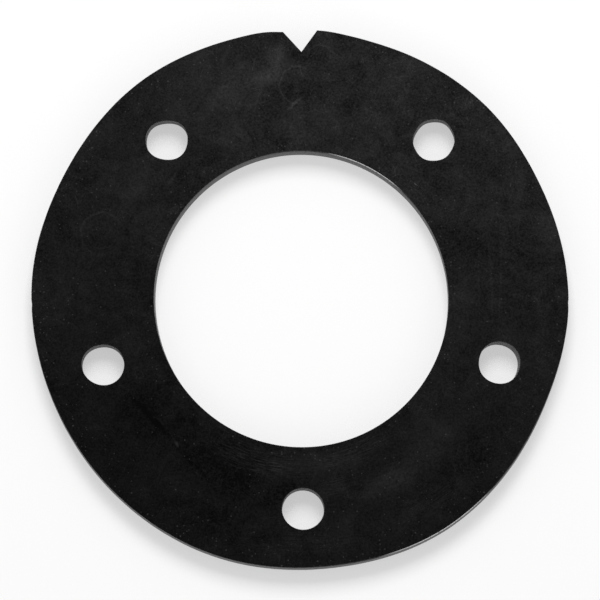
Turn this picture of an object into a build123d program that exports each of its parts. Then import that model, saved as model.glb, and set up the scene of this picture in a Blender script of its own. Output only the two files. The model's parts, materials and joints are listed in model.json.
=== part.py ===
from build123d import *
import os

# Rubber flange gasket: a flat ring cut from sheet rubber, with a bore, five bolt holes
# and a V notch in its outside edge that shows which way round it is fitted.
#
# Millimetres and degrees. The origin is the centre of the bore on the underside.
# +Z is up through the sheet and +Y points at the V notch. Bearings are measured
# anticlockwise from +X, seen from above.

# Sheet
THICKNESS = 3.2
ARRIS_WIDTH = 0.15  # every cut edge is worn off to a narrow bevel this wide on each face

# Bolt holes, which everything else is set out from
BOLT_CIRCLE_DIAMETER = 54.0
BOLT_HOLE_DIAMETER = 5.4
INNER_WEB = 5.15  # rubber between a bolt hole and the bore
OUTER_WEB = 5.0  # rubber between a bolt hole and the outside edge

# Places of the holes round the bolt circle
NOTCH_BEARING = 90.0
LOWER_PITCH = 72.0  # the three holes opposite the notch keep a regular pentagon's pitch
UPPER_OFFSET = 40.0  # the two holes beside the notch lie this far to each side of it

# V notch
NOTCH_DEPTH = 2.5  # from the nominal outside circle to the apex
NOTCH_LEFT_SLOPE = 42.5  # each flank leans this far from the radius through the apex
NOTCH_RIGHT_SLOPE = 36.0

# The knife wandered round the outside edge. At each bearing the edge stands out from
# the nominal circle by this much, or in from it where the number is negative.
EDGE_WANDER = (
    (0, -0.25),
    (15, -0.40),
    (27, -0.45),
    (45, -0.05),
    (68, 0.00),
    (80, 0.15),
    (87, 0.35),
    (93.5, 0.15),
    (96.5, 0.33),
    (102, 0.35),
    (112, 0.35),
    (125, 0.45),
    (155, -0.05),
    (173, 0.15),
    (200, -0.12),
    (225, -0.05),
    (252, 0.15),
    (280, 0.00),
    (300, 0.27),
    (320, -0.15),
    (340, -0.55),
)

bolt_circle_radius = BOLT_CIRCLE_DIAMETER / 2
bolt_hole_radius = BOLT_HOLE_DIAMETER / 2
bore_radius = bolt_circle_radius - bolt_hole_radius - INNER_WEB
outside_radius = bolt_circle_radius + bolt_hole_radius + OUTER_WEB
bolt_bearings = (
    NOTCH_BEARING - UPPER_OFFSET,
    NOTCH_BEARING + UPPER_OFFSET,
    NOTCH_BEARING + 180 - LOWER_PITCH,
    NOTCH_BEARING + 180,
    NOTCH_BEARING + 180 + LOWER_PITCH,
)


def polar(radius, bearing):
    """The point at this distance and bearing from the bore's axis."""
    return Vector(radius, 0).rotate(Axis.Z, bearing)


def cut_disc():
    """The disc inside the outside edge, one smooth closed curve."""
    points = [polar(outside_radius + wander, bearing) for bearing, wander in EDGE_WANDER]
    return make_face(Spline(*points, periodic=True))


def notch():
    """The lopsided triangle that leaves the V notch, run out well past the edge."""
    apex = polar(outside_radius - NOTCH_DEPTH, NOTCH_BEARING)
    flank = 3 * NOTCH_DEPTH
    left = apex + polar(flank, NOTCH_BEARING + NOTCH_LEFT_SLOPE)
    right = apex + polar(flank, NOTCH_BEARING - NOTCH_RIGHT_SLOPE)
    return make_face(Polyline(apex, right, left, close=True))


def gasket():
    """The whole gasket: one solid."""
    sheet = cut_disc() - notch() - Circle(bore_radius)
    for bearing in bolt_bearings:
        sheet -= Pos(polar(bolt_circle_radius, bearing)) * Circle(bolt_hole_radius)
    ring = extrude(sheet, THICKNESS)
    levels = ring.edges().group_by(Axis.Z)
    return chamfer(levels[0] + levels[-1], ARRIS_WIDTH)


os.makedirs("parts", exist_ok=True)
export_step(gasket(), "parts/gasket.step")
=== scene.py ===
import json
import math

import bpy
import numpy as np
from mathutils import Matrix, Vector, geometry, kdtree, noise


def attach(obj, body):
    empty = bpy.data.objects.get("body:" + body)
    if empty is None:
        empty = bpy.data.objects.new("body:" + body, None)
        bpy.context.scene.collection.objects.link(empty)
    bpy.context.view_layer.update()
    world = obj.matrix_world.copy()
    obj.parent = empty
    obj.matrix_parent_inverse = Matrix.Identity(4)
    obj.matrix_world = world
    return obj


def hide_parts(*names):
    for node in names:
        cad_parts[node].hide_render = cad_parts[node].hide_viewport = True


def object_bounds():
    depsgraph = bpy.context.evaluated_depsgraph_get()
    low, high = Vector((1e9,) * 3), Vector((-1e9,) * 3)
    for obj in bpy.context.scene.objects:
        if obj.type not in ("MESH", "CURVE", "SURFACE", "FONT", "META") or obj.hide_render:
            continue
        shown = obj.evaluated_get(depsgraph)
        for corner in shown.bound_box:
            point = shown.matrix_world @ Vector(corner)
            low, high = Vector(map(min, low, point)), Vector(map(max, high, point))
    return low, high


# The looks of the rubber flange gasket: one dense mesh of die-cut sheet rubber that
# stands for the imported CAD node, its two materials, the floor, the light and the camera.
#
# Sizes are in millimetres and degrees, and become metres where Blender gets them, unless
# a comment says otherwise. The frame is the CAD model's: the bore's axis is Z, and the V
# notch points along +Y. Bearings run anticlockwise from +X, seen from above.

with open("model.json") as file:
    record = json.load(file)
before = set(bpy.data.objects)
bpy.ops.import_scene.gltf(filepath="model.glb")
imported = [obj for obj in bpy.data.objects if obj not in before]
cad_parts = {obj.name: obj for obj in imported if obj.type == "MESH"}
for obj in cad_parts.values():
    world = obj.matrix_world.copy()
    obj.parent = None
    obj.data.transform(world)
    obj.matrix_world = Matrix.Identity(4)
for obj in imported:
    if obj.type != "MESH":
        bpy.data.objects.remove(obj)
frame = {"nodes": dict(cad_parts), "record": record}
cad_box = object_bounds()

MM = 0.001
BODY = "root"
NODE = "gasket"

# ---- sizes from the frame

thickness = cad_box[1].z / MM
mounts = {mount["name"]: mount for mount in frame["record"]["mounts"]}
bore_radius = mounts["bore"]["dims"]["r_mm"]
bolt_holes = {
    name.removeprefix("bolt_hole_"): mount
    for name, mount in mounts.items()
    if name.startswith("bolt_hole_")
}
bolt_hole_radius = bolt_holes["lower"]["dims"]["r_mm"]
bolt_circle_radius = math.hypot(*bolt_holes["lower"]["pos_m"][:2]) / MM

# The outside edge is found among the CAD's points: those on the wall, between the bevels,
# and clear of the bolt holes.
WALL_SHARE = 0.46  # the wall's reach above and below mid-height, as a share of the thickness
CLEAR_OF_HOLES = 1.0
BEARING_DIGITS = 2  # points whose bearings agree to this many digits are one above another

# ---- density of the mesh

EDGE_STEP = 0.35  # between points along the bore and the outside edge
HOLE_STEP = 0.24  # between points round a bolt hole
FACE_STEP = 0.55  # between points on the two faces
RIM_MARGIN = 0.30  # no inner point of a face comes nearer to an edge than this
ARRIS_STEPS = 4  # facets round an arris
WALL_ROWS = 9  # rows of points down a wall, between its arrises
FACE, CUT = 0, 1  # places of the two materials
INSIDE_SIDES = 1  # Blender's triangulation keeps to what its given sides enclose
SAME_POINT = 1e-7  # and takes points this near to each other as one

# ---- the cut edges

LAND = 0.10  # flat strip of face beside an arris
SHARP_ARRIS = 0.05  # radius of an arris as the die left it
WORN_ARRIS = 0.11  # radius where handling has rounded it
DISH = 0.05  # a die-cut wall is hollow by this much at mid-thickness
STRIATION = 0.018  # depth of the marks that the knife dragged down the wall
STRIATION_PITCH = 2.2  # how fast those marks change round an edge, and down it
STRIATION_DRIFT = 0.8
WOBBLE = 0.02  # depth of the small waves along the outside edge
WOBBLE_PITCH = 0.45  # how fast they change along the circle they are read on
WOBBLE_CIRCLE = 35.0
NICK_WIDTH = 0.35
NICKS = ((181.0, 0.07), (359.3, 0.05))  # bearing and depth where two cuts met

# Stretches where the arris is rounded by wear: from this bearing to that one
ROUNDED_OUTSIDE = (278, 328)
ROUNDED_BORE = (44, 98)
ROUNDED_FADE = 8.0  # the wear dies out over this many degrees at each end

# How the bore and each punched hole depart from true ones. Offset is where a hole stands
# from its true place, and shift is where its lower rim stands from the upper one. A lobe
# gives how many times the rim swells in a turn, by how much, and the bearing of one swell,
# and a lobe of no times widens or narrows the whole rim. Flat is the depth and bearing of
# a straight side. The taper narrows the lower rim by this much all round.
HOLE_TAPER = 0.03
BORE_TAPER = 0.12
FLAT_SHARPNESS = 4  # the higher, the shorter a straight side
BORE_SHAPE = {
    "offset": (-0.03, 0.10),
    "shift": (0.06, -0.02),
    "lobes": ((0, -0.07, 0), (2, 0.11, 105)),
    "flat": (0, 0),
}
HOLE_SHAPES = {
    "upper_left": {
        "offset": (-0.04, 0.10),
        "shift": (0.09, 0.00),
        "lobes": ((2, 0.06, -17), (4, 0.05, 38)),
        "flat": (0.22, 112),
    },
    "upper_right": {
        "offset": (-0.25, 0.05),
        "shift": (0.05, 0.00),
        "lobes": ((2, 0.04, 50), (6, 0.03, 0)),
        "flat": (0.08, 10),
    },
    "left": {
        "offset": (0.12, -0.04),
        "shift": (0.05, 0.00),
        "lobes": ((2, 0.04, 167), (3, 0.02, 53)),
        "flat": (0.10, 97),
    },
    "lower": {
        "offset": (0.22, -0.06),
        "shift": (-0.02, 0.00),
        "lobes": ((2, 0.02, 160),),
        "flat": (0, 0),
    },
    "right": {
        "offset": (-0.15, 0.20),
        "shift": (-0.26, -0.06),
        "lobes": ((2, 0.03, 100), (4, 0.03, 31)),
        "flat": (0, 0),
    },
}

# ---- the faces

SAG = 0.045  # the two faces of the sheet are hollow by up to this much
SAG_LENGTH = 14.0  # size of the sag's waves, and the share of the sag that they take
SAG_WAVE = 0.45
RIPPLE_LENGTH = SAG_LENGTH / 3  # the same for the smaller ripples
SAG_RIPPLE = 0.2
RIPPLE_LAYER = 40  # reads the ripples from another part of the noise


def bearings_of(points):
    """The bearing of each point round the bore's axis, in degrees from 0 to 360."""
    return np.degrees(np.arctan2(points[:, 1], points[:, 0])) % 360


def polar(radius, bearing):
    """Points at these distances and bearings from the bore's axis."""
    angle = np.radians(bearing)
    return np.stack([radius * np.cos(angle), radius * np.sin(angle)], axis=-1)


def direction(bearing, elevation):
    """The unit vector towards this bearing and elevation."""
    turn, rise = math.radians(bearing), math.radians(elevation)
    level = math.cos(rise)
    return Vector((level * math.cos(turn), level * math.sin(turn), math.sin(rise)))


def unit(wave):
    """Noise that runs from -1 to 1, brought to run from 0 to 1."""
    return 0.5 + 0.5 * np.array(wave)


def between(bearing, span):
    """1 inside a span of bearings, falling to 0 beyond each end."""
    low, high = span
    middle = (low + high) / 2
    away = np.abs((bearing - middle + 180) % 360 - 180) - (high - low) / 2
    return np.clip(1 - away / ROUNDED_FADE, 0, 1)


def arris_radius(loop, worn_span):
    """The radius of the arris at each point of a loop: sharp, but rounded in that span."""
    return SHARP_ARRIS + (WORN_ARRIS - SHARP_ARRIS) * between(bearings_of(loop), worn_span)


def cad_outside():
    """The outside edge of the CAD model as bearings and radii, in order of bearing."""
    points = np.array([vertex.co for vertex in frame["nodes"][NODE].data.vertices]) / MM
    radius = np.hypot(points[:, 0], points[:, 1])
    on_wall = np.abs(points[:, 2] - thickness / 2) < WALL_SHARE * thickness
    edge = (radius > bolt_circle_radius + bolt_hole_radius + CLEAR_OF_HOLES) & on_wall
    rounded = np.round(bearings_of(points[edge]), BEARING_DIGITS)
    bearing, first = np.unique(rounded, return_index=True)
    return bearing, radius[edge][first]


def outside_loop():
    """Points anticlockwise round the outside edge, with its notch, nicks and wobble."""
    bearing, radius = cad_outside()
    apex = int(np.argmin(radius))
    right, left = bearing[apex - 1], bearing[apex + 1]
    tips = [polar(radius[k], bearing[k]) for k in (apex - 1, apex, apex + 1)]
    turn = 360 - (left - right)
    count = round(math.radians(turn) * radius.mean() / EDGE_STEP)
    sweep = left + np.linspace(0, turn, count + 1)
    arc_radius = np.interp(sweep % 360, bearing, radius, period=360)
    for place, depth in NICKS:
        away = (sweep - place + 180) % 360 - 180
        across = math.degrees(NICK_WIDTH / radius.mean())
        arc_radius = arc_radius - depth * np.exp(-((away / across) ** 2))
    places = polar(WOBBLE_CIRCLE, sweep)
    wave = [noise.noise(Vector((*place, 0)) * WOBBLE_PITCH) for place in places]
    arc_radius = arc_radius - WOBBLE * unit(wave)
    flanks = []
    for start, end in ((tips[0], tips[1]), (tips[1], tips[2])):
        steps = round(np.linalg.norm(end - start) / EDGE_STEP)
        share = np.linspace(0, 1, steps + 1)[:, None]
        flanks.append((start + (end - start) * share)[1:])
    arc = polar(arc_radius, sweep)
    arc[0], arc[-1] = tips[2], tips[0]
    return np.vstack([arc, flanks[0], flanks[1][:-1]])


def hole_loop(mount, shape, step):
    """Points clockwise round the bore or a bolt hole, out of round as the punch left it."""
    radius = mount["dims"]["r_mm"]
    count = round(2 * math.pi * radius / step)
    bearing = -np.arange(count) * 360 / count
    for times, swell, axis in shape["lobes"]:
        radius = radius + swell * np.cos(times * np.radians(bearing - axis))
    depth, side = shape["flat"]
    flat = depth * np.clip(np.cos(np.radians(bearing - side)), 0, 1) ** FLAT_SHARPNESS
    centre = np.array(mount["pos_m"][:2]) / MM + np.array(shape["offset"])
    return centre + polar(radius - flat, bearing)


def mitres(loop):
    """At each point, the vector that leads out of the rubber by 1 mm from both its sides."""
    sides = np.roll(loop, -1, axis=0) - loop
    sides /= np.linalg.norm(sides, axis=1)[:, None]
    outward = np.stack([sides[:, 1], -sides[:, 0]], axis=1)
    before = np.roll(outward, 1, axis=0)
    return (outward + before) / (1 + (outward * before).sum(axis=1))[:, None]


def edge_rows(loop, arris, lower_shift=(0, 0), taper=0.0):
    """Rows of points from the upper face over the arris, down the wall and under.

    lower_shift moves the lower rim and taper narrows it. Both grow with depth.
    """
    out = mitres(loop)
    arris = np.broadcast_to(arris, len(loop))
    profile = [(arris + LAND, np.zeros(len(loop)))]
    for turn in np.linspace(0, math.pi / 2, ARRIS_STEPS + 1):
        profile.append((arris * (1 - math.sin(turn)), arris * (1 - math.cos(turn))))
    for share in np.linspace(0, 1, WALL_ROWS + 2)[1:-1]:
        depth = arris + share * (thickness - 2 * arris)
        hollow = DISH * 4 * share * (1 - share)
        down = share * STRIATION_DRIFT
        streak = [noise.noise(Vector((*point * STRIATION_PITCH, down))) for point in loop]
        profile.append((hollow + STRIATION * unit(streak), depth))
    for turn in np.linspace(math.pi / 2, 0, ARRIS_STEPS + 1):
        inset, depth = arris * (1 - math.sin(turn)), arris * (1 - math.cos(turn))
        profile.append((inset, thickness - depth))
    profile.append((arris + LAND, np.full(len(loop), thickness)))
    rows = []
    for inset, depth in profile:
        share = (depth / thickness)[:, None]
        place = loop - out * inset[:, None] + share * (np.array(lower_shift) + taper * out)
        rows.append(np.column_stack([place, thickness - depth]))
    return rows


def cut_edges():
    """The rows of every cut edge: outside, bore and bolt holes."""
    outside, bore = outside_loop(), hole_loop(mounts["bore"], BORE_SHAPE, EDGE_STEP)
    bore_arris = arris_radius(bore, ROUNDED_BORE)
    edges = [
        edge_rows(outside, arris_radius(outside, ROUNDED_OUTSIDE)),
        edge_rows(bore, bore_arris, BORE_SHAPE["shift"], BORE_TAPER),
    ]
    for name, shape in HOLE_SHAPES.items():
        loop = hole_loop(bolt_holes[name], shape, HOLE_STEP)
        edges.append(edge_rows(loop, SHARP_ARRIS, shape["shift"], HOLE_TAPER))
    return edges


def inside_rubber(points, loops):
    """True for each point that lies in the rubber between the loops."""
    outer = loops[0]
    order = np.argsort(bearings_of(outer))
    reach = np.interp(
        bearings_of(points), bearings_of(outer)[order], np.hypot(*outer[order].T), period=360
    )
    inside = np.hypot(*points.T) < reach
    for loop in loops[1:]:
        centre = loop.mean(axis=0)
        inside &= np.hypot(*(points - centre).T) > np.hypot(*(loop - centre).T).max()
    return inside


def face_grid(loops):
    """An even triangular grid of points over a face, clear of its edges."""
    reach = np.abs(loops[0]).max()
    pitch = FACE_STEP * math.sqrt(3) / 2
    rows = np.arange(-reach, reach, pitch)
    grid = []
    for index, y in enumerate(rows):
        x = np.arange(-reach, reach, FACE_STEP) + FACE_STEP / 2 * (index % 2)
        grid.append(np.column_stack([x, np.full(len(x), y)]))
    grid = np.vstack(grid)
    grid = grid[inside_rubber(grid, loops)]
    rim = np.vstack(loops)
    tree = kdtree.KDTree(len(rim))
    for index, point in enumerate(rim):
        tree.insert((*point, 0), index)
    tree.balance()
    clear = [tree.find((*point, 0))[2] > RIM_MARGIN for point in grid]
    return grid[clear]


def face_triangles(loops):
    """A face between the loops: its inner points and its triangles, which count the
    loops' points first and then the inner points."""
    grid = face_grid(loops)
    owner = np.repeat(np.arange(len(loops) + 1), [len(loop) for loop in loops] + [len(grid)])
    sides, start = [], 0
    for loop in loops:
        ring = list(range(start, start + len(loop)))
        sides += list(zip(ring, ring[1:] + ring[:1]))
        start += len(loop)
    points = [Vector(point) for point in np.vstack([*loops, grid])]
    _, _, triangles, origin, _, _ = geometry.delaunay_2d_cdt(
        points, sides, [], INSIDE_SIDES, SAME_POINT
    )
    source = np.array([found[0] for found in origin])
    corners = source[np.array(triangles)]
    held = owner[corners]
    one_owner = held.min(axis=1) == held.max(axis=1)
    in_hole = one_owner & (held[:, 0] > 0) & (held[:, 0] < len(loops))
    return grid, corners[~in_hole]


def settle(points):
    """The same points with both faces sagging a little, as soft sheet does."""
    sagged = points.copy()
    for index, (x, y, z) in enumerate(points):
        wave = noise.noise(Vector((x, y, 0)) / SAG_LENGTH)
        ripple = noise.noise(Vector((x, y, RIPPLE_LAYER)) / RIPPLE_LENGTH)
        depth = SAG * np.clip(0.5 + SAG_WAVE * wave + SAG_RIPPLE * ripple, 0, 1)
        sagged[index, 2] = z + depth * (1 - 2 * z / thickness)
    return sagged


def gasket_mesh():
    """The whole gasket as one closed mesh, in millimetres: its points, its faces, and
    the material that each face takes."""
    points, faces, tops, bottoms, finishes = [], [], [], [], []
    count = 0
    for rows in cut_edges():
        size = len(rows[0])
        ring = np.arange(size)
        following = (ring + 1) % size
        for level in range(len(rows) - 1):
            upper, lower = count + level * size, count + (level + 1) * size
            quads = (upper + ring, lower + ring, lower + following, upper + following)
            faces += np.stack(quads, axis=1).tolist()
            finishes += [FACE if level in (0, len(rows) - 2) else CUT] * size
        tops.append((count, rows[0]))
        bottoms.append((count + (len(rows) - 1) * size, rows[-1]))
        points += rows
        count += size * len(rows)
    for rims, height, winding in ((tops, thickness, 1), (bottoms, 0.0, -1)):
        grid, triangles = face_triangles([rim[:, :2] for _, rim in rims])
        index = np.concatenate(
            [start + np.arange(len(rim)) for start, rim in rims] + [count + np.arange(len(grid))]
        )
        faces += index[triangles[:, ::winding]].tolist()
        finishes += [FACE] * len(triangles)
        points.append(np.column_stack([grid, np.full(len(grid), height)]))
        count += len(grid)
    return settle(np.vstack(points)), faces, finishes


# ---- short calls for building a material's nodes


class Shader:
    """A new material and short calls that add nodes to it. A call returns its output."""

    def __init__(self, name):
        self.material = bpy.data.materials.new(name)
        self.material.use_nodes = True
        self.tree = self.material.node_tree
        self.tree.nodes.clear()

    def node(self, kind, settings=None, **inputs):
        """A node with its properties set and its inputs set or linked, by input name."""
        made = self.tree.nodes.new("ShaderNode" + kind)
        for name, value in (settings or {}).items():
            setattr(made, name, value)
        for name, value in inputs.items():
            self.feed(made.inputs[name.replace("_", " ")], value)
        return made

    def feed(self, socket, value):
        """Links an output to the socket, or sets the socket to a value."""
        if isinstance(value, bpy.types.NodeSocket):
            self.tree.links.new(value, socket)
        else:
            socket.default_value = value

    def math(self, operation, *values):
        """A Math node's output."""
        made = self.node("Math", {"operation": operation})
        for socket, value in zip(made.inputs, values):
            self.feed(socket, value)
        return made.outputs[0]

    def vector(self, operation, *values):
        """A Vector Math node's output: a number for a length or a dot product."""
        made = self.node("VectorMath", {"operation": operation})
        for socket, value in zip(made.inputs, values):
            self.feed(socket, value)
        return made.outputs["Value" if operation in ("LENGTH", "DOT_PRODUCT") else "Vector"]

    def ramp(self, value, start, end, low=0.0, high=1.0):
        """low where value is at start, high where it is at end, smooth in between."""
        ends = {"From_Min": start, "From_Max": end, "To_Min": low, "To_Max": high}
        smooth = {"interpolation_type": "SMOOTHSTEP"}
        return self.node("MapRange", smooth, Value=value, **ends).outputs["Result"]

    def product(self, *values):
        """An output times other outputs or numbers."""
        result = values[0]
        for value in values[1:]:
            result = self.math("MULTIPLY", result, value)
        return result

    def added(self, value, factor, base):
        """base with value times factor added to it."""
        return self.math("MULTIPLY_ADD", value, factor, base)

    def scaled(self, vector, factor):
        """A vector times a number."""
        made = self.node("VectorMath", {"operation": "SCALE"}, Vector=vector, Scale=factor)
        return made.outputs[0]

    def noise(self, place, size, detail, rough, distortion=0.0):
        """Noise from 0 to 1 whose features are this many millimetres across."""
        made = self.node("TexNoise", Vector=place, Scale=1 / size, Detail=detail, Roughness=rough)
        made.inputs["Distortion"].default_value = distortion
        return made.outputs[0]

    def total(self, values):
        """The sum of several outputs or numbers."""
        result = values[0]
        for value in values[1:]:
            result = self.math("ADD", result, value)
        return result


# ---- the rubber

# In this part a ramp's numbers are its start, its end and, if given, what it runs from and
# to: see Shader.ramp. A noise's numbers are the size of its features, its detail, its
# roughness and its distortion: see Shader.noise.

# The faces. Shades are reflectances: of plain rubber, and what a mark adds to it.
FACE_SHADE = 0.0074
HAIR_SHADE = 0.014
DUST_SHADE = 0.026
FACE_GLOSS = 0.03
FACE_ROUGH = (-0.35, 0.35, 0.60, 0.80)  # a ramp over the bloom's larger unevenness
UPPER_FACE = (0.4 * thickness, 0.6 * thickness)  # handling marks show above this ramp

# Unevenness of the bloom at each scale: a noise, and its strength
CLOUDS = ((12.0, 3.0, 0.50, 0.0), 1.2)
SWIRLS = ((4.5, 4.0, 0.55, 1.2), 2.0)
MOTTLE = ((1.5, 3.0, 0.60, 0.6), 0.9)
GRAIN = ((0.27, 3.0, 0.75, 0.0), 3.3)
LEAST_BLOOM = 0.12
SHEEN_ALONG_Y = (-32.0, 36.0, 0.66, 1.55)  # painted sheen: the faces are painted lighter towards the notch, the key lamp's side
FADE_ALONG_X = (-24.0, 0.0, 0.82, 1.12)  # and the bloom is thinner on the left

# Marks waver by the drift, and are broken up by the sheet's texture
DRIFT_SIZE = 1.6
DRIFT_DETAIL = 3.0
DRIFT_REACH = 0.8
BREAKS = (0.5, 3.0, 0.6)
BREAK_STRENGTH = (0.32, 0.62, 0.65, 1.85)
PATCH_EDGE = (1.0, 0.15)  # a patch fades in over this ramp from its rim, as shares of its size
RING_FAR_SIDE = 0.15  # strength of a ring mark on its faint side

# Straight hairlines all over, in each of these directions
HAIRLINE_TILTS = (15, 68, 105, 152)
HAIRLINE_LENGTH = 3.0
HAIRLINE_WIDTH = 0.20
HAIRLINE_NOISE = (1.0, 1.0, 0.5)
HAIRLINES_SHOWN = (0.62, 0.76)
HAIRLINE_STRENGTH = (-0.2, 0.3, 0.1, 0.75)  # a ramp over the swirls

# Hairlines round the bore: a noise that is fine outwards and long round the bore
SCUFF_OUTWARD = 9.0  # changes per millimetre outwards
SCUFF_ROUND = 9.0  # changes per radian round the bore
SCUFF_NOISE = (1.0, 3.0, 0.65)
SCUFFS_SHOWN = (0.44, 0.68)

# Dust: the spacing of its cells, the size of a speck, and the share of cells with one
FINE_DUST = (0.60, 0.11, 0.45)
FINE_DUST_STRENGTH = 0.7
RIM_DUST = (0.42, 0.115, 0.42)
# Rim dust thickens over these ramps of distance from the axis
OUTER_RIM = (bolt_circle_radius + 3.0, bolt_circle_radius + 7.8)
INNER_RIM = (bore_radius + 2.5, bore_radius)

# Relief of the faces: fine and coarse texture, scuffs and specks
FINE_RELIEF = ((0.16, 3.0, 0.65), 0.010)
COARSE_RELIEF = ((0.9, 3.0, 0.6), 0.014)
SCUFF_RELIEF = -0.006
DUST_RELIEF = 0.012

# The cut walls: streaked down by the knife, torn, and painted paler towards the foot as a painted
# reflection of the white floor
CUT_GLOSS = 0.25
CUT_ROUGH = (0.3, 0.7, 0.42, 0.60)
STREAKS = (0.30, 3.0, 0.65)
STREAK_STRETCH = 0.15  # how fast the streaks change down the wall, against across it
TEARS = (0.22, 4.0, 0.7)
# painted reflection of the white floor: what the walls gain at their foot
FLOOR_REFLECTION_SHADE = 0.115
STREAK_SHADE = 0.014
TORN_SHADE = 0.024
TORN_SHOWN = (0.45, 0.75)
STREAK_RELIEF = 0.020
TORN_RELIEF = 0.025

# Arrises: worn in patches within this ramp of distance from the nearer face
ARRIS_ZONE = (0.22, 0.05)
ARRIS_SHOWN = (0.35, 0.62)
ARRIS_SHADE = 0.022

# Stretches where a highlight is painted on the upper arris: bearing and spread, and the ramp of
# distance from the axis that tells the outside edge from the bore
HIGHLIGHT_OUTSIDE = (301, 15)
HIGHLIGHT_BORE = (64, 18)
OUTSIDE_ZONE = (bolt_circle_radius + 4, bolt_circle_radius + 5)
BORE_ZONE = (bore_radius + 1.85, bore_radius + 0.85)
HIGHLIGHT_HEIGHTS = (thickness - 0.15, thickness - 0.07)
HIGHLIGHT_SHADE = (0.30, 0.55, 0.22, 0.55)  # how bright the painted highlight is: a ramp over the tears
HIGHLIGHT_CORE = 1 / 3  # share of the spread where the painted highlight is brightest

# Soft patches of bloom on the upper face: x, y, half length, half width, tilt, strength.
# A negative strength is a patch that has been wiped darker.
PATCHES = (
    (-3.2, 30.7, 4.0, 2.3, 75, 0.50),
    (-7.5, 28.0, 4.0, 6.0, 20, 0.22),
    (-12.5, 26.0, 7.5, 5.0, 25, 0.25),
    (-8.5, 21.5, 3.0, 5.5, -20, 0.25),
    (0.0, 23.0, 11.0, 3.6, 2, 0.22),
    (21.8, 12.9, 7.5, 4.5, -55, 0.14),
    (32.0, 8.7, 5.5, 2.4, -72, 0.34),
    (23.5, 22.0, 6.0, 3.0, -45, 0.14),
    (-21.0, 15.0, 4.0, 2.0, 55, 0.35),
    (11.5, -23.7, 5.5, 2.7, 25, 0.75),
    (4.0, -21.0, 8.0, 2.2, 6, 0.35),
    (16.0, -19.0, 7.5, 4.0, 40, 0.40),
    (6.0, -28.5, 4.0, 2.0, 30, 0.25),
    (-10.0, -21.5, 10.0, 5.5, -35, -0.42),
    (-20.0, -14.5, 8.5, 5.0, -50, -0.25),
    (-2.5, -25.5, 4.5, 2.2, 20, -0.35),
    (-12.0, -28.0, 8.0, 2.6, -22, -0.25),
    (22.0, -20.0, 6.0, 4.0, 45, -0.25),
    (27.0, -3.0, 7.0, 4.0, 85, 0.12),
    (-21.5, 3.0, 4.5, 8.0, 10, -0.15),
)

# Scratches and scuffs: x, y, half length, half width, tilt, strength.
SCRATCHES = (
    (-4.9, 28.8, 2.6, 1.4, 14, 0.50),
    (-2.9, 31.4, 3.0, 0.9, 78, 0.22),
    (-16.8, 15.6, 2.2, 0.35, 55, 0.45),
    (14.7, 15.1, 0.50, 0.10, -45, 3.6),
    (-1.0, 25.4, 1.6, 0.32, 41, 1.1),
    (-16.1, -18.7, 0.70, 0.25, -50, 1.4),
    (-19.6, -15.0, 5.6, 0.50, -47, -0.55),
    (-14.0, -21.2, 4.2, 0.35, -46, -0.35),
    (24.4, 3.0, 9.0, 0.28, 92, 0.30),
    (25.6, 1.0, 8.0, 0.20, 88, 0.25),
    (22.9, 2.5, 7.0, 0.20, 90, 0.20),
)

# Where hairlines follow the bore, as the patches are given.
SCUFFS = (
    (-6.5, -20.5, 8.0, 2.6, -16, 0.9),
    (-1.0, -21.5, 7.0, 2.4, 0, 0.45),
    (7.0, -19.6, 6.5, 2.2, 20, 0.9),
    (4.5, -24.0, 4.5, 2.0, 25, 0.5),
    (0.0, -31.5, 14.0, 2.4, 0, 0.35),
    (17.0, -26.0, 8.0, 2.6, 33, 0.35),
    (-22.0, -3.0, 2.6, 7.0, 5, 0.25),
)

# Rings pressed into the bloom: x, y, radius, line width, strength, and the bearing round
# the ring's own centre at which it shows best.
RINGS = (
    (-0.4, 27.9, 2.4, 0.18, 0.60, 150),
    (2.3, 31.6, 1.5, 0.20, 0.35, 80),
    (-25.7, 8.6, 2.7, 0.24, 0.60, 130),
    (-25.7, 8.6, 1.9, 0.20, 0.35, 250),
)


def patch(shader, place, x, y, half_length, half_width, tilt, strength):
    """A soft oval mark."""
    moved = shader.node(
        "Mapping",
        {"vector_type": "TEXTURE"},
        Vector=place,
        Location=(x, y, 0),
        Rotation=(0, 0, math.radians(tilt)),
        Scale=(half_length, half_width, 1),
    )
    return shader.ramp(shader.vector("LENGTH", moved.outputs[0]), *PATCH_EDGE, 0.0, strength)


def ring_mark(shader, place, x, y, radius, width, strength, bearing):
    """A thin round mark, plain on the side at this bearing and faint on the other."""
    arm = shader.vector("SUBTRACT", place, (x, y, 0))
    off = shader.math("ABSOLUTE", shader.math("SUBTRACT", shader.vector("LENGTH", arm), radius))
    line = shader.ramp(off, width, 0.0, 0.0, strength)
    side = shader.vector("DOT_PRODUCT", arm, direction(bearing, 0))
    return shader.product(line, shader.ramp(side, -radius, radius, RING_FAR_SIDE, 1.0))


def hairlines(shader, place, tilt):
    """Sparse fine scratches that lie at this tilt, 1 on a scratch and 0 between."""
    drawn = shader.node(
        "Mapping",
        {"vector_type": "TEXTURE"},
        Vector=place,
        Rotation=(0, 0, math.radians(tilt)),
        Scale=(HAIRLINE_LENGTH, HAIRLINE_WIDTH, 1),
    ).outputs[0]
    return shader.ramp(shader.noise(drawn, *HAIRLINE_NOISE), *HAIRLINES_SHOWN)


def facing(shader, flat, out, bearing, spread):
    """1 near this bearing round the bore's axis, and 0 beyond its spread to each side."""
    along = shader.math("DIVIDE", shader.vector("DOT_PRODUCT", flat, direction(bearing, 0)), out)
    edge, core = math.radians(spread), math.radians(spread * HIGHLIGHT_CORE)
    return shader.ramp(along, math.cos(edge), math.cos(core))


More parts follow.
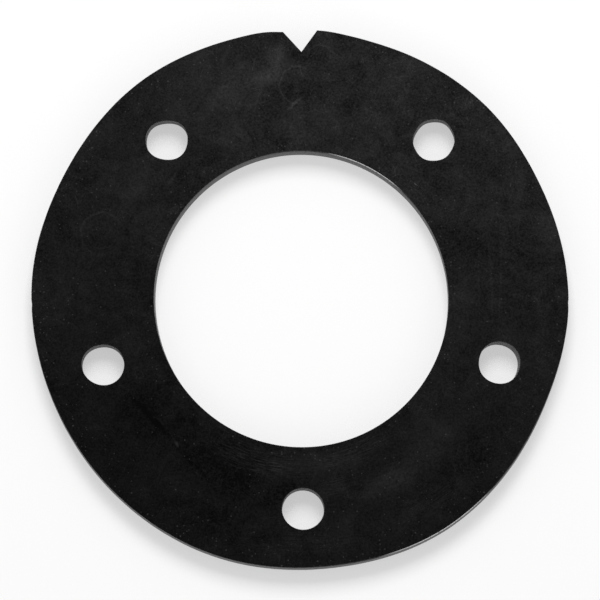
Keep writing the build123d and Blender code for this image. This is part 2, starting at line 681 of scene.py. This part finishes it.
def dust(shader, place, spacing, size, share):
    """Round specks of dust: 1 on a speck and 0 between. Only that share of cells has one."""
    cells = shader.node("TexVoronoi", Vector=place, Scale=1 / spacing, Randomness=1.0)
    chance = shader.node("SeparateColor", Color=cells.outputs["Color"]).outputs[0]
    reach = shader.product(shader.ramp(chance, 1 - share, 1.0), size / spacing)
    return shader.math("LESS_THAN", cells.outputs["Distance"], reach)


def millimetres(shader):
    """The point being shaded, in millimetres: as a vector, as the same laid flat at no
    height, and as its three numbers."""
    place = shader.scaled(shader.node("TexCoord").outputs["Object"], 1 / MM)
    x, y, z = shader.node("SeparateXYZ", Vector=place).outputs
    flat = shader.node("CombineXYZ", X=x, Y=y, Z=0.0).outputs[0]
    return place, flat, (x, y, z)


def uneven(shader, place, texture, strength):
    """Noise that swings to both sides of nothing."""
    return shader.product(shader.math("SUBTRACT", shader.noise(place, *texture), 0.5), strength)


def finish_off(shader, shade, rough, relief, specular):
    """Closes a material: grey colour, roughness, relief in millimetres, and gloss."""
    colour = shader.node("CombineColor", Red=shade, Green=shade, Blue=shade).outputs[0]
    height = shader.product(relief, MM)
    bump = shader.node("Bump", Height=height, Strength=1.0, Distance=1.0).outputs[0]
    principled = shader.node("BsdfPrincipled", Base_Color=colour, Roughness=rough, Normal=bump)
    principled.inputs["Specular IOR Level"].default_value = specular
    output = shader.node("OutputMaterial")
    shader.feed(output.inputs["Surface"], principled.outputs[0])
    return shader.material


def wavering(shader, flat):
    """The flat place moved a little to and fro, so that what is drawn on it wavers."""
    drift = shader.node("TexNoise", Vector=flat, Scale=1 / DRIFT_SIZE, Detail=DRIFT_DETAIL)
    to_and_fro = shader.vector("SUBTRACT", drift.outputs["Color"], (0.5, 0.5, 0.5))
    return shader.vector("ADD", flat, shader.scaled(to_and_fro, DRIFT_REACH))


def handling_marks(shader, flat, shaky, upper):
    """The patches, scratches and rings on the upper face."""
    marks = [patch(shader, shaky, *row) for row in PATCHES + SCRATCHES]
    marks += [ring_mark(shader, shaky, *row) for row in RINGS]
    broken = shader.ramp(shader.noise(flat, *BREAKS), *BREAK_STRENGTH)
    return shader.product(shader.total(marks), broken, upper)


def bore_hairlines(shader, flat, out, x, y, upper):
    """Fine lines that follow the bore, in the scuffed patches of the upper face."""
    turn = shader.math("ARCTAN2", y, x)
    outward, round_it = shader.product(out, SCUFF_OUTWARD), shader.product(turn, SCUFF_ROUND)
    round_bore = shader.node("CombineXYZ", X=outward, Y=round_it).outputs[0]
    hairs = shader.ramp(shader.noise(round_bore, *SCUFF_NOISE), *SCUFFS_SHOWN)
    return shader.product(hairs, shader.total([patch(shader, flat, *row) for row in SCUFFS]), upper)


def dust_specks(shader, place, out):
    """Fine dust all over, and more of it near the rims."""
    near_rim = shader.math(
        "MAXIMUM", shader.ramp(out, *OUTER_RIM), shader.ramp(out, *INNER_RIM)
    )
    rim_dust = shader.product(dust(shader, place, *RIM_DUST), near_rim)
    return shader.added(dust(shader, place, *FINE_DUST), FINE_DUST_STRENGTH, rim_dust)


def face_material():
    """The sheet's two faces: matt black rubber, cloudy with bloom, scuffed and dusty."""
    shader = Shader("rubber_face")
    place, flat, (x, y, z) = millimetres(shader)
    out = shader.vector("LENGTH", flat)
    upper = shader.ramp(z, *UPPER_FACE)
    shaky = wavering(shader, flat)

    # bloom: even unevenness at every scale, straight hairlines and the marks of handling
    textures = (CLOUDS, SWIRLS, MOTTLE, GRAIN)
    clouds, swirls, mottle, grain = [uneven(shader, place, *row) for row in textures]
    scratched = shader.total([hairlines(shader, shaky, tilt) for tilt in HAIRLINE_TILTS])
    scratched = shader.product(scratched, shader.ramp(swirls, *HAIRLINE_STRENGTH))
    marked = handling_marks(shader, flat, shaky, upper)
    bloom = shader.total([clouds, swirls, mottle, grain, scratched, marked, 1.0])
    bloom = shader.math("MAXIMUM", bloom, LEAST_BLOOM)
    # painted sheen along Y, times the bloom thinning on the left
    sheen_and_fade = shader.product(shader.ramp(y, *SHEEN_ALONG_Y), shader.ramp(x, *FADE_ALONG_X))

    hair = bore_hairlines(shader, flat, out, x, y, upper)
    specks = dust_specks(shader, place, out)
    shade = shader.product(bloom, sheen_and_fade, FACE_SHADE)
    shade = shader.added(hair, HAIR_SHADE, shade)
    shade = shader.added(specks, DUST_SHADE, shade)
    rough = shader.ramp(shader.math("ADD", clouds, swirls), *FACE_ROUGH)
    relief = shader.total(
        [
            shader.product(shader.noise(place, *FINE_RELIEF[0]), FINE_RELIEF[1]),
            shader.product(shader.noise(place, *COARSE_RELIEF[0]), COARSE_RELIEF[1]),
            shader.product(hair, SCUFF_RELIEF),
            shader.product(specks, DUST_RELIEF),
        ]
    )
    return finish_off(shader, shade, rough, relief, FACE_GLOSS)


def arris_highlight(shader, flat, z):
    """1 on the stretches of the upper arris where a highlight is painted."""
    out = shader.vector("LENGTH", flat)
    stretches = ((HIGHLIGHT_OUTSIDE, OUTSIDE_ZONE), (HIGHLIGHT_BORE, BORE_ZONE))
    worn = [
        shader.product(facing(shader, flat, out, *stretch), shader.ramp(out, *zone))
        for stretch, zone in stretches
    ]
    return shader.product(shader.total(worn), shader.ramp(z, *HIGHLIGHT_HEIGHTS))


def cut_material():
    """The cut walls and arrises: torn, streaked by the knife, paler in worn patches, with a painted
    highlight on stretches of the upper arris and a painted floor reflection that pales the walls
    towards the foot.
    """
    shader = Shader("rubber_cut")
    place, flat, (x, y, z) = millimetres(shader)
    stretched = shader.node("CombineXYZ", X=x, Y=y, Z=shader.product(z, STREAK_STRETCH))
    streaks = shader.noise(stretched.outputs[0], *STREAKS)
    torn = shader.noise(place, *TEARS)
    near_face = shader.math("MINIMUM", z, shader.math("SUBTRACT", thickness, z))
    worn = shader.product(shader.ramp(near_face, *ARRIS_ZONE), shader.ramp(torn, *ARRIS_SHOWN))

    # painted reflection of the white floor: the walls are painted paler from the upper face down to
    # the foot
    shade = shader.ramp(z, thickness, 0.0, 0.0, FLOOR_REFLECTION_SHADE)
    shade = shader.added(streaks, STREAK_SHADE, shade)
    shade = shader.added(shader.ramp(torn, *TORN_SHOWN), TORN_SHADE, shade)
    shade = shader.added(worn, ARRIS_SHADE, shade)
    # painted highlight on stretches of the upper arris
    shade = shader.added(arris_highlight(shader, flat, z), shader.ramp(torn, *HIGHLIGHT_SHADE), shade)
    relief = shader.added(streaks, STREAK_RELIEF, shader.product(torn, TORN_RELIEF))
    rough = shader.ramp(torn, *CUT_ROUGH)
    return finish_off(shader, shade, rough, relief, CUT_GLOSS)


def make_gasket():
    """The gasket's mesh in metres, with its two materials."""
    points, faces, finishes = gasket_mesh()
    mesh = bpy.data.meshes.new("gasket_rubber")
    mesh.from_pydata((points * MM).tolist(), [], faces)
    mesh.shade_smooth()
    mesh.materials.append(face_material())
    mesh.materials.append(cut_material())
    mesh.polygons.foreach_set("material_index", finishes)
    piece = bpy.data.objects.new("gasket_rubber", mesh)
    bpy.context.scene.collection.objects.link(piece)
    return piece


# ---- floor, light and camera

FLOOR_HALF = 15.0  # half the floor's width, in metres
FLOOR_COLOUR = 0.95
FLOOR_GLOW = 0.45  # share of the floor that is plain white to the camera and to gloss
FLOOR_DROP = 0.01  # below the gasket, so that the two never share a surface

AMBIENT = 0.50  # strength of the even light from all round

# Area lamps: name, bearing, elevation, distance in metres, size in metres, watts
LAMPS = (
    ("key", 90, 54, 0.60, 0.28, 2.45),
    ("fill", 295, 28, 0.80, 0.30, 0.3),
)

CAMERA_BEARING = 270  # from the side away from the notch
CAMERA_ELEVATION = 84
CAMERA_DISTANCE = 2.0  # metres: so far off that there is next to no perspective
CAMERA_LENS = 931  # millimetres, over Blender's usual 36 mm sensor
CAMERA_AIM = (-0.181, -0.03)  # the point on the upper face at the middle of the picture
CLIP_NEAR = 1 / 100  # clipping distances, as multiples of the camera's distance
CLIP_FAR = 10


def floor_material():
    """Pale floor: white to the camera and to gloss, and it keeps the gasket's shadow."""
    shader = Shader("floor")
    rays = shader.node("LightPath").outputs
    kinds = ("Is Camera Ray", "Is Glossy Ray", "Is Transmission Ray")
    share = shader.product(shader.total([rays[kind] for kind in kinds]), FLOOR_GLOW)
    paint = shader.node("BsdfDiffuse", Color=(FLOOR_COLOUR, FLOOR_COLOUR, FLOOR_COLOUR, 1))
    glow = shader.node("Emission", Color=(1, 1, 1, 1), Strength=1.0)
    mixed = shader.node("MixShader")
    for socket, value in zip(mixed.inputs, (share, paint.outputs[0], glow.outputs[0])):
        shader.feed(socket, value)
    output = shader.node("OutputMaterial")
    shader.feed(output.inputs["Surface"], mixed.outputs[0])
    return shader.material


def make_floor():
    """A plain square under the gasket, part of the stage and not of the object."""
    low, half = cad_box[0].z - FLOOR_DROP * MM, FLOOR_HALF
    corners = [(-half, -half, low), (half, -half, low), (half, half, low), (-half, half, low)]
    mesh = bpy.data.meshes.new("floor")
    mesh.from_pydata(corners, [], [(0, 1, 2, 3)])
    mesh.materials.append(floor_material())
    floor = bpy.data.objects.new("floor", mesh)
    bpy.context.scene.collection.objects.link(floor)


def make_lamp(name, bearing, elevation, distance, size, watts):
    """A square lamp that faces the gasket and isn't seen by the camera."""
    data = bpy.data.lights.new(name, "AREA")
    data.size = size
    data.energy = watts
    lamp = bpy.data.objects.new(name, data)
    towards = direction(bearing, elevation)
    lamp.location = towards * distance
    lamp.rotation_euler = towards.to_track_quat("Z", "Y").to_euler()
    lamp.visible_camera = False
    bpy.context.scene.collection.objects.link(lamp)


def make_world():
    """Even light from all round."""
    world = bpy.data.worlds.new("studio")
    world.use_nodes = True
    background = world.node_tree.nodes["Background"]
    background.inputs["Color"].default_value = (1, 1, 1, 1)
    background.inputs["Strength"].default_value = AMBIENT
    bpy.context.scene.world = world


def make_camera():
    """A view from nearly straight above, with the notch at the top of the picture."""
    data = bpy.data.cameras.new("camera")
    data.lens = CAMERA_LENS
    data.clip_start = CAMERA_DISTANCE * CLIP_NEAR
    data.clip_end = CAMERA_DISTANCE * CLIP_FAR
    camera = bpy.data.objects.new("camera", data)
    back = direction(CAMERA_BEARING, CAMERA_ELEVATION)
    aim = Vector((CAMERA_AIM[0], CAMERA_AIM[1], thickness)) * MM
    camera.location = aim + back * CAMERA_DISTANCE
    camera.rotation_euler = back.to_track_quat("Z", "Y").to_euler()
    bpy.context.scene.collection.objects.link(camera)
    bpy.context.scene.camera = camera


gasket = make_gasket()
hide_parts(NODE)
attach(gasket, BODY)
make_floor()
make_world()
for lamp in LAMPS:
    make_lamp(*lamp)
make_camera()
bpy.context.scene.view_settings.view_transform = "Standard"
